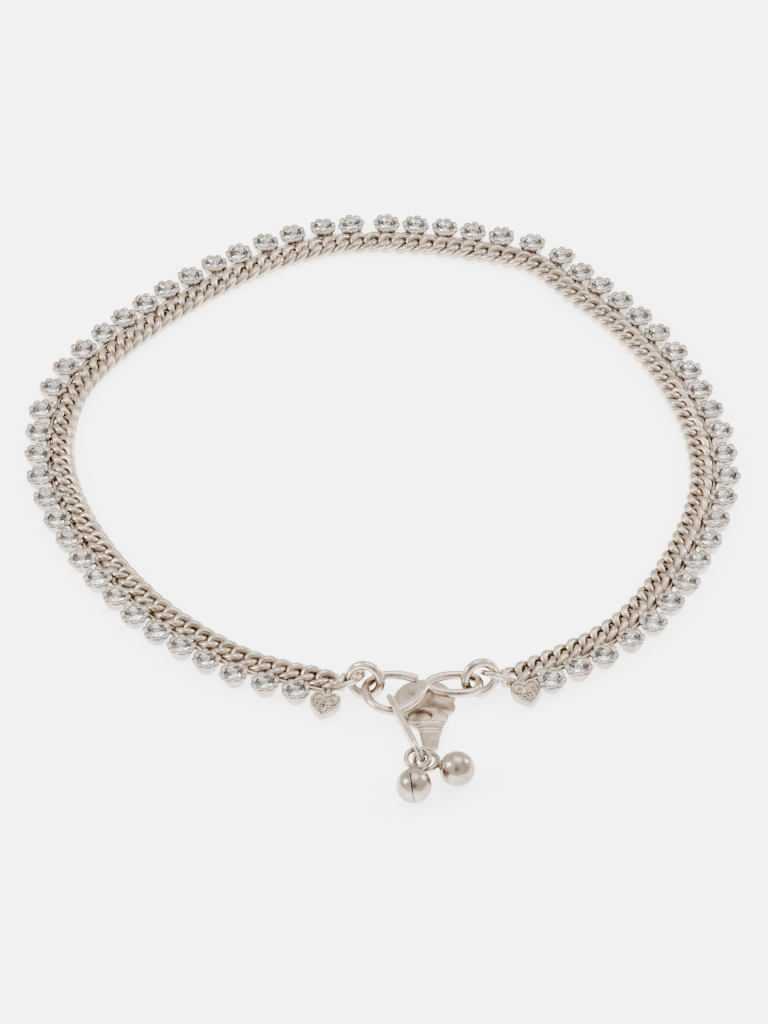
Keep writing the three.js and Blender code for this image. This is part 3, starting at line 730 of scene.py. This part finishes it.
# Oval ring of the drops. A long ring of thinner wire, soldered shut, hangs on the hook's mouth and
# leans over on its side between the drops.
# Length, width and wire
OVAL = (12.1, 4.5, 0.9)
OVAL_HEADING = Vector((3.4, -8.7, -0.2)).normalized()
OVAL_LEAN = Vector((-0.32, 0, 1))
OVAL_BEND = Vector((crossing - 3.852, mouth_y - HOOK_MOUTH[1] / 2 - 0.014, HOOK_LEVEL + 0.254))

sideways = OVAL_LEAN.cross(OVAL_HEADING).normalized()
oval_place = Matrix((OVAL_HEADING, -sideways.cross(OVAL_HEADING), -sideways)).transposed().to_4x4()
oval_place.translation = OVAL_BEND + OVAL_HEADING * (OVAL[0] - OVAL[1]) / 2
oval = stood_in(oval_line(*OVAL, 20), oval_place)
add_piece("drop_ring", mesh_from("drop_ring", [tube(oval, OVAL[2], 12, closed=True)]),
          wire_silver, replaces=["oval_ring"])
oval_far_end = OVAL_BEND + OVAL_HEADING * (OVAL[0] - (OVAL[1] - OVAL[2]) / 2 - OVAL[2])

# Jingle bells. Two thin half shells of silver are soldered round a slit, with a short neck and a
# cast eye on top. They hang on the far end of the oval ring.
BELL_RADIUS = 2.3
BELL_WALL = 0.35
BELL_SLIT = 0.17
BELL_EYE = (3.7, 3.7, 0.7)
BELL_NECK = 0.1
# Distance past the ball's wall, and radius
BELL_NECK_SHAPE = [(-0.12, 0.75), (0.02, 0.62), (0.2, 0.5), (0.45, 0.46)]
BELL_TILT_AXIS = Vector((-0.75, 0, 0.66))
# The eye's middle from the oval ring's far end, the way the bell points, and how its slit lies
BELLS = {
    "bell_front": {"offset": (-0.659, -0.188, 0.544), "heading": -97.0, "roll": 0, "tilt": 12},
    "bell_side": {"offset": (0.461, 0.186, -0.446), "heading": -23.2, "roll": 46, "tilt": 0}}


def turned_part(profile, steps):
    """A closed form turned about X, from points (along, radius)."""
    corners, faces = [], []
    for along, radius in profile:
        for k in range(steps):
            angle = 2 * math.pi * k / steps
            corners.append(Vector((along, radius * math.cos(angle), radius * math.sin(angle))))
    for ring in range(len(profile) - 1):
        a, b = ring * steps, (ring + 1) * steps
        for k in range(steps):
            m = (k + 1) % steps
            faces.append((a + k, b + k, b + m, a + m))
    faces.append(tuple(range(steps)))
    faces.append(tuple(reversed(range((len(profile) - 1) * steps, len(profile) * steps))))
    return corners, faces


def ball_profile(radius, rings):
    return [(-radius * math.cos(math.pi * (i + 0.15) / (rings - 0.7)),
             radius * math.sin(math.pi * (i + 0.15) / (rings - 0.7))) for i in range(rings)]


def joined(name, *meshes):
    """One mesh of several, as they are cast or soldered together."""
    whole = bmesh.new()
    for mesh in meshes:
        whole.from_mesh(mesh)
    made = bpy.data.meshes.new(name)
    whole.to_mesh(made)
    whole.free()
    return made


def cut_away(mesh, cutters):
    """Takes the cutters' shapes out of a mesh and gives the plain result."""
    body = add_object(mesh.name + "_body", mesh)
    made_from = [body]
    for i, cutter in enumerate(cutters):
        tool = add_object("cutter_%d" % i, cutter)
        made_from.append(tool)
        cut = body.modifiers.new("Cut %d" % i, "BOOLEAN")
        cut.operation = "DIFFERENCE"
        cut.solver = "EXACT"
        cut.object = tool
    made = bpy.data.meshes.new_from_object(
        body.evaluated_get(bpy.context.evaluated_depsgraph_get()))
    for used in made_from:
        bpy.data.objects.remove(used)
    return made


def box_part(centre, size):
    corners = [Vector([c + s * half for c, s, half in zip(centre, signs, [v / 2 for v in size])])
               for signs in ((-1, -1, -1), (1, -1, -1), (1, 1, -1), (-1, 1, -1),
                             (-1, -1, 1), (1, -1, 1), (1, 1, 1), (-1, 1, 1))]
    return corners, [(0, 3, 2, 1), (4, 5, 6, 7), (0, 1, 5, 4), (1, 2, 6, 5), (2, 3, 7, 6), (3, 0, 4, 7)]


# The bells' last colour, for their slits, necks and undersides, is tarnish with painted shade.
bell_silver = silver_finish("burnished silver", "#ab9d8f", "#847566", "#65533f", 0.22, 0.9)
for name, bell in BELLS.items():
    reach = BELL_RADIUS + BELL_EYE[0] / 2 + BELL_NECK
    eye_centre = oval_far_end + Vector(bell["offset"])
    drop = eye_centre.z - BELL_RADIUS
    run = math.sqrt(reach ** 2 - drop ** 2)
    heading = math.radians(bell["heading"])
    to_ball = Vector((run * math.cos(heading), run * math.sin(heading), -drop))
    place = axes_along(-to_ball, Vector((0, 0, 1)), eye_centre + to_ball)
    shell = mesh_from(name + "_shell", [turned_part(ball_profile(BELL_RADIUS, 28), 48)])
    hollow = mesh_from(name + "_hollow", [turned_part(ball_profile(BELL_RADIUS - BELL_WALL, 16), 32)])
    slit = mesh_from(name + "_slit", [box_part(
        (-BELL_RADIUS + BELL_WALL, 0, 0), (2 * BELL_RADIUS, BELL_SLIT, 2 * BELL_RADIUS))], smooth=False)
    ball = cut_away(shell, [hollow, slit])
    ball.transform(Matrix.Rotation(math.radians(bell["tilt"]), 4, BELL_TILT_AXIS)
                   @ Matrix.Rotation(math.radians(bell["roll"]), 4, "X"))
    eye_line = stood_in(oval_line(*BELL_EYE, 24), Matrix.Translation((reach, 0, 0)))
    neck = turned_part([(BELL_RADIUS + along, radius) for along, radius in BELL_NECK_SHAPE], 20)
    top = mesh_from(name + "_top", [tube(eye_line, BELL_EYE[2], 12, closed=True), neck])
    mesh = joined(name + "_cast", ball, top)
    place.translation *= MM
    mesh.transform(place)
    mesh.shade_smooth()
    mesh.set_sharp_from_angle(angle=math.radians(45))
    add_piece(name + "_cast", mesh, bell_silver, replaces=[name])

# Flower charm. A cast plate with ten scallops lies on its face, so that its plain back shows: a
# sunk oval with a collar, a small hole, and a neck with cross ridges up to its eye.
CHARM_RADIUS = 4.15
CHARM_THICKNESS = 0.5
# Rings from the face up to the back: inset, how far the scallops are evened out there, and height
CHARM_LAYERS = [
    (0.25, 0.0, 0.0), (0.06, 0.0, 0.08), (0.0, 0.0, 0.25), (0.05, 0.0, 0.42), (0.28, 0.0, 0.5),
    (1.2, 0.5, 0.56), (2.4, 1.0, 0.6)]
CHARM_SCALLOPS = 10
CHARM_SCALLOP_DEPTH = 0.42
CHARM_SCALLOP_SHARPNESS = 0.8
# The scallops are worn shallow on one side: least share of their depth, and turn of the deep side
CHARM_WORN = (0.12, 35)
# How far the plate is drawn out towards the neck, over which half angle, and up to which height
CHARM_DRAWN_OUT = (1.25, 0.5)
CHARM_NECK_HEADING = 278
CHARM_MIDDLE_LEVEL = 0.55
CHARM_EYE = (3.4, 3.4, 0.5)
CHARM_EYE_OFFSET = Vector((0.289, 1.297, -1.182))
CHARM_EYE_LEAN = 22.2
CHARM_REACH = 10.8
# Offset to the right, width at the eye and width at the plate, where it also flares
CHARM_NECK = (0.71, 1.9, 3.3)
CHARM_FLARE = 0.8
CHARM_COLLAR = (4.0, 3.0, 0.48)
CHARM_COLLAR_AT = Vector((-0.6, -2.7, 0.58))
CHARM_RECESS_INSET = 0.4
CHARM_RECESS_DEPTH = 0.36
CHARM_HOLE_AT = Vector((1.8, -1.9, 0))
CHARM_HOLE_RADIUS = 0.26
CHARM_RIDGES = 4
CHARM_RIDGE_PITCH = 0.6
CHARM_RIDGE_HEIGHT = 0.12


def scalloped_plate():
    """Plate with a soft edge, a little thicker towards the middle."""
    steps = CHARM_SCALLOPS * 12
    corners, faces = [], []
    for inset, evening, height in CHARM_LAYERS:
        for k in range(steps):
            angle = 2 * math.pi * k / steps
            worn = max(CHARM_WORN[0], math.cos(angle + math.radians(CHARM_WORN[1])))
            wave = abs(math.sin(CHARM_SCALLOPS * angle / 2)) ** CHARM_SCALLOP_SHARPNESS
            notch = CHARM_SCALLOP_DEPTH * worn * (1 - wave)
            to_neck = (math.degrees(angle) - CHARM_NECK_HEADING) / math.degrees(CHARM_DRAWN_OUT[1])
            drawn = CHARM_DRAWN_OUT[0] * math.exp(-to_neck ** 2) if height < CHARM_MIDDLE_LEVEL else 0
            radius = CHARM_RADIUS + drawn - notch * (1 - evening) - inset
            corners.append(Vector((radius * math.cos(angle), radius * math.sin(angle), height)))
    for ring in range(len(CHARM_LAYERS) - 1):
        a, b = ring * steps, (ring + 1) * steps
        for k in range(steps):
            m = (k + 1) % steps
            faces.append((a + k, a + m, b + m, b + k))
    faces.append(tuple(reversed(range(steps))))
    faces.append(tuple(range((len(CHARM_LAYERS) - 1) * steps, len(CHARM_LAYERS) * steps)))
    return corners, faces


def neck_part(top, foot):
    """Neck between two points, its width growing towards the plate."""
    rows, across = 60, 9
    corners, faces = [], []
    for i in range(rows + 1):
        share = i / rows
        middle = top.lerp(foot, share)
        half = (CHARM_NECK[1] + (CHARM_NECK[2] - CHARM_NECK[1]) * share
                + CHARM_FLARE * share ** 3) / 2
        from_foot = (1 - share) * (foot - top).length / CHARM_RIDGE_PITCH
        ridge = 0
        if from_foot < CHARM_RIDGES:
            ridge = CHARM_RIDGE_HEIGHT * max(0.0, -math.cos(2 * math.pi * from_foot))
        for level in (1, -1):
            for k in range(across):
                side = level * (2 * k / (across - 1) - 1)
                bulge = CHARM_THICKNESS / 2 * math.sqrt(max(0.0, 1 - abs(side) ** 3)) + 0.02
                height = bulge + ridge if level > 0 else -bulge
                corners.append(middle + Vector((side * half, 0, height)))
    ring = 2 * across
    for i in range(rows):
        a, b = i * ring, (i + 1) * ring
        for k in range(ring):
            m = (k + 1) % ring
            faces.append((a + k, b + k, b + m, a + m))
    faces.append(tuple(range(ring)))
    faces.append(tuple(reversed(range(rows * ring, (rows + 1) * ring))))
    return corners, faces


def disc_part(centre, half_length, half_width, depth, steps=32):
    corners = []
    for height in (-depth, depth):
        corners += [centre + Vector((half_length * math.cos(2 * math.pi * k / steps),
                                     half_width * math.sin(2 * math.pi * k / steps), height))
                    for k in range(steps)]
    faces = [tuple(reversed(range(steps))), tuple(range(steps, 2 * steps))]
    faces += [(k, (k + 1) % steps, steps + (k + 1) % steps, steps + k) for k in range(steps)]
    return corners, faces


charm_eye = oval_far_end + CHARM_EYE_OFFSET
plate_centre = Vector((charm_eye.x, charm_eye.y + CHARM_REACH, 0))
plate = mesh_from("charm_plate", [scalloped_plate()])
plate.transform(Matrix.Translation(plate_centre * MM))
collar_centre = plate_centre + CHARM_COLLAR_AT
recess = disc_part(collar_centre, CHARM_COLLAR[0] / 2 - CHARM_RECESS_INSET,
                   CHARM_COLLAR[1] / 2 - CHARM_RECESS_INSET, CHARM_RECESS_DEPTH)
hole = disc_part(plate_centre + CHARM_HOLE_AT, CHARM_HOLE_RADIUS, CHARM_HOLE_RADIUS, 2)
plate = cut_away(plate, [mesh_from("charm_recess", [recess], smooth=False),
                         mesh_from("charm_hole", [hole], smooth=False)])
neck_top = charm_eye + Vector((CHARM_NECK[0], CHARM_EYE[0] / 2 - CHARM_EYE[2] / 2, 0.2))
neck_foot = plate_centre + Vector((CHARM_NECK[0], CHARM_EYE[2] - CHARM_RADIUS, CHARM_THICKNESS))
eye_place = Matrix.Translation(charm_eye) @ Matrix.Rotation(math.radians(CHARM_EYE_LEAN), 4, "X")
collar_line = stood_in(oval_line(*CHARM_COLLAR, 20), Matrix.Translation(collar_centre))
rest = mesh_from("charm_rest", [
    neck_part(neck_top, neck_foot), tube(collar_line, CHARM_COLLAR[2], 10, closed=True),
    tube(stood_in(oval_line(*CHARM_EYE, 24), eye_place), CHARM_EYE[2], 12, closed=True)])
charm = joined("flower_charm_cast", plate, rest)
charm.shade_smooth()
charm.set_sharp_from_angle(angle=math.radians(48))
add_piece("flower_charm_cast", charm, cast_silver, replaces=["flower_charm"])

# Surface under the anklet: a matt white acrylic sheet, lit from below as on a light table, so that
# it is nearly white and the shadows on it stay faint.
FLOOR_SIZE = 900.0
FLOOR_LEVEL = -0.02
FLOOR_GLOW = 3.4


def acrylic_finish():
    """Matt acrylic: next to no reflection, and a faint cloud 60 mm across from the casting."""
    finish = bpy.data.materials.new("matt white acrylic")
    finish.use_nodes = True
    tree = finish.node_tree
    shader = tree.nodes["Principled BSDF"]
    where = add_node(tree, "ShaderNodeTexCoord").outputs["Object"]
    haze = add_node(tree, "ShaderNodeTexNoise", {
        "Vector": where, "Scale": 1 / (60 * MM), "Detail": 1.0})
    tint = add_node(tree, "ShaderNodeMix", {
        "Factor": haze.outputs["Fac"], 6: colour("#fbfafa"), 7: colour("#f6f5f5")},
        data_type="RGBA")
    tree.links.new(tint.outputs[2], shader.inputs["Base Color"])
    shader.inputs["Roughness"].default_value = 0.9
    shader.inputs["Specular IOR Level"].default_value = 0.1
    shader.inputs["Emission Color"].default_value = (1, 1, 1, 1)
    shader.inputs["Emission Strength"].default_value = FLOOR_GLOW
    return finish


half = FLOOR_SIZE / 2
floor_corners = [(x * half, y * half, FLOOR_LEVEL) for x, y in ((-1, -1), (1, -1), (1, 1), (-1, 1))]
floor = add_object("floor", mesh_from("floor", [(floor_corners, [(0, 1, 2, 3)])], smooth=False))
floor.data.materials.append(acrylic_finish())

# Studio light: a large soft box over the anklet, a smaller one at each side for the highlights, and
# a pale room that the metal and the stones mirror, with one dark opening behind the camera.
LIGHTS = (("top_box", (40, 120, 520), 380, 2.0), ("left_box", (-420, -60, 330), 200, 2.4),
          ("right_box", (430, 180, 260), 160, 1.6))
ROOM_BRIGHTNESS = 2.1
# Cosine of the angle from the camera's way, where the opening starts and where it is darkest
OPENING_EDGES = (0.9, 1.0)
LOOK_AT = Vector((0.477, -4.38, 1.75))
CAMERA_HEIGHT_ANGLE = 44.0


def aimed(made, place, target):
    """Puts a lamp or camera at a place in millimetres and turns it towards a target."""
    made.location = place * MM
    made.rotation_euler = ((target - place).to_track_quat("-Z", "Y")).to_euler()


for name, place, size, power in LIGHTS:
    lamp = bpy.data.lights.new(name, "AREA")
    lamp.size = size * MM
    lamp.energy = power
    made = bpy.data.objects.new(name, lamp)
    bpy.context.scene.collection.objects.link(made)
    aimed(made, Vector(place), LOOK_AT)

rise = math.radians(CAMERA_HEIGHT_ANGLE)
to_camera = Vector((0, -math.cos(rise), math.sin(rise)))
room = bpy.data.worlds.new("pale room")
bpy.context.scene.world = room
room.use_nodes = True
room_tree = room.node_tree
direction = add_node(room_tree, "ShaderNodeTexCoord").outputs["Generated"]
behind_camera = add_node(room_tree, "ShaderNodeVectorMath", {0: direction, 1: to_camera},
                         operation="DOT_PRODUCT")
shade = add_node(room_tree, "ShaderNodeMapRange", {
    "Value": behind_camera.outputs["Value"],
    "From Min": OPENING_EDGES[0], "From Max": OPENING_EDGES[1]})
walls = add_node(room_tree, "ShaderNodeMix", {
    "Factor": shade.outputs["Result"], 6: colour("#f6f3f0"), 7: colour("#4a4440")},
    data_type="RGBA")
background = room_tree.nodes["Background"]
room_tree.links.new(walls.outputs[2], background.inputs["Color"])
background.inputs["Strength"].default_value = ROOM_BRIGHTNESS

# Camera at the photograph's angle, with the whole anklet in the picture
CAMERA_DISTANCE = 647.4
CAMERA_LENS = 168.75
lens = bpy.data.cameras.new("camera")
lens.lens = CAMERA_LENS
lens.sensor_width = 36
lens.clip_start = 0.01
camera = bpy.data.objects.new("camera", lens)
bpy.context.scene.collection.objects.link(camera)
aimed(camera, LOOK_AT + CAMERA_DISTANCE * to_camera, LOOK_AT)
bpy.context.scene.camera = camera
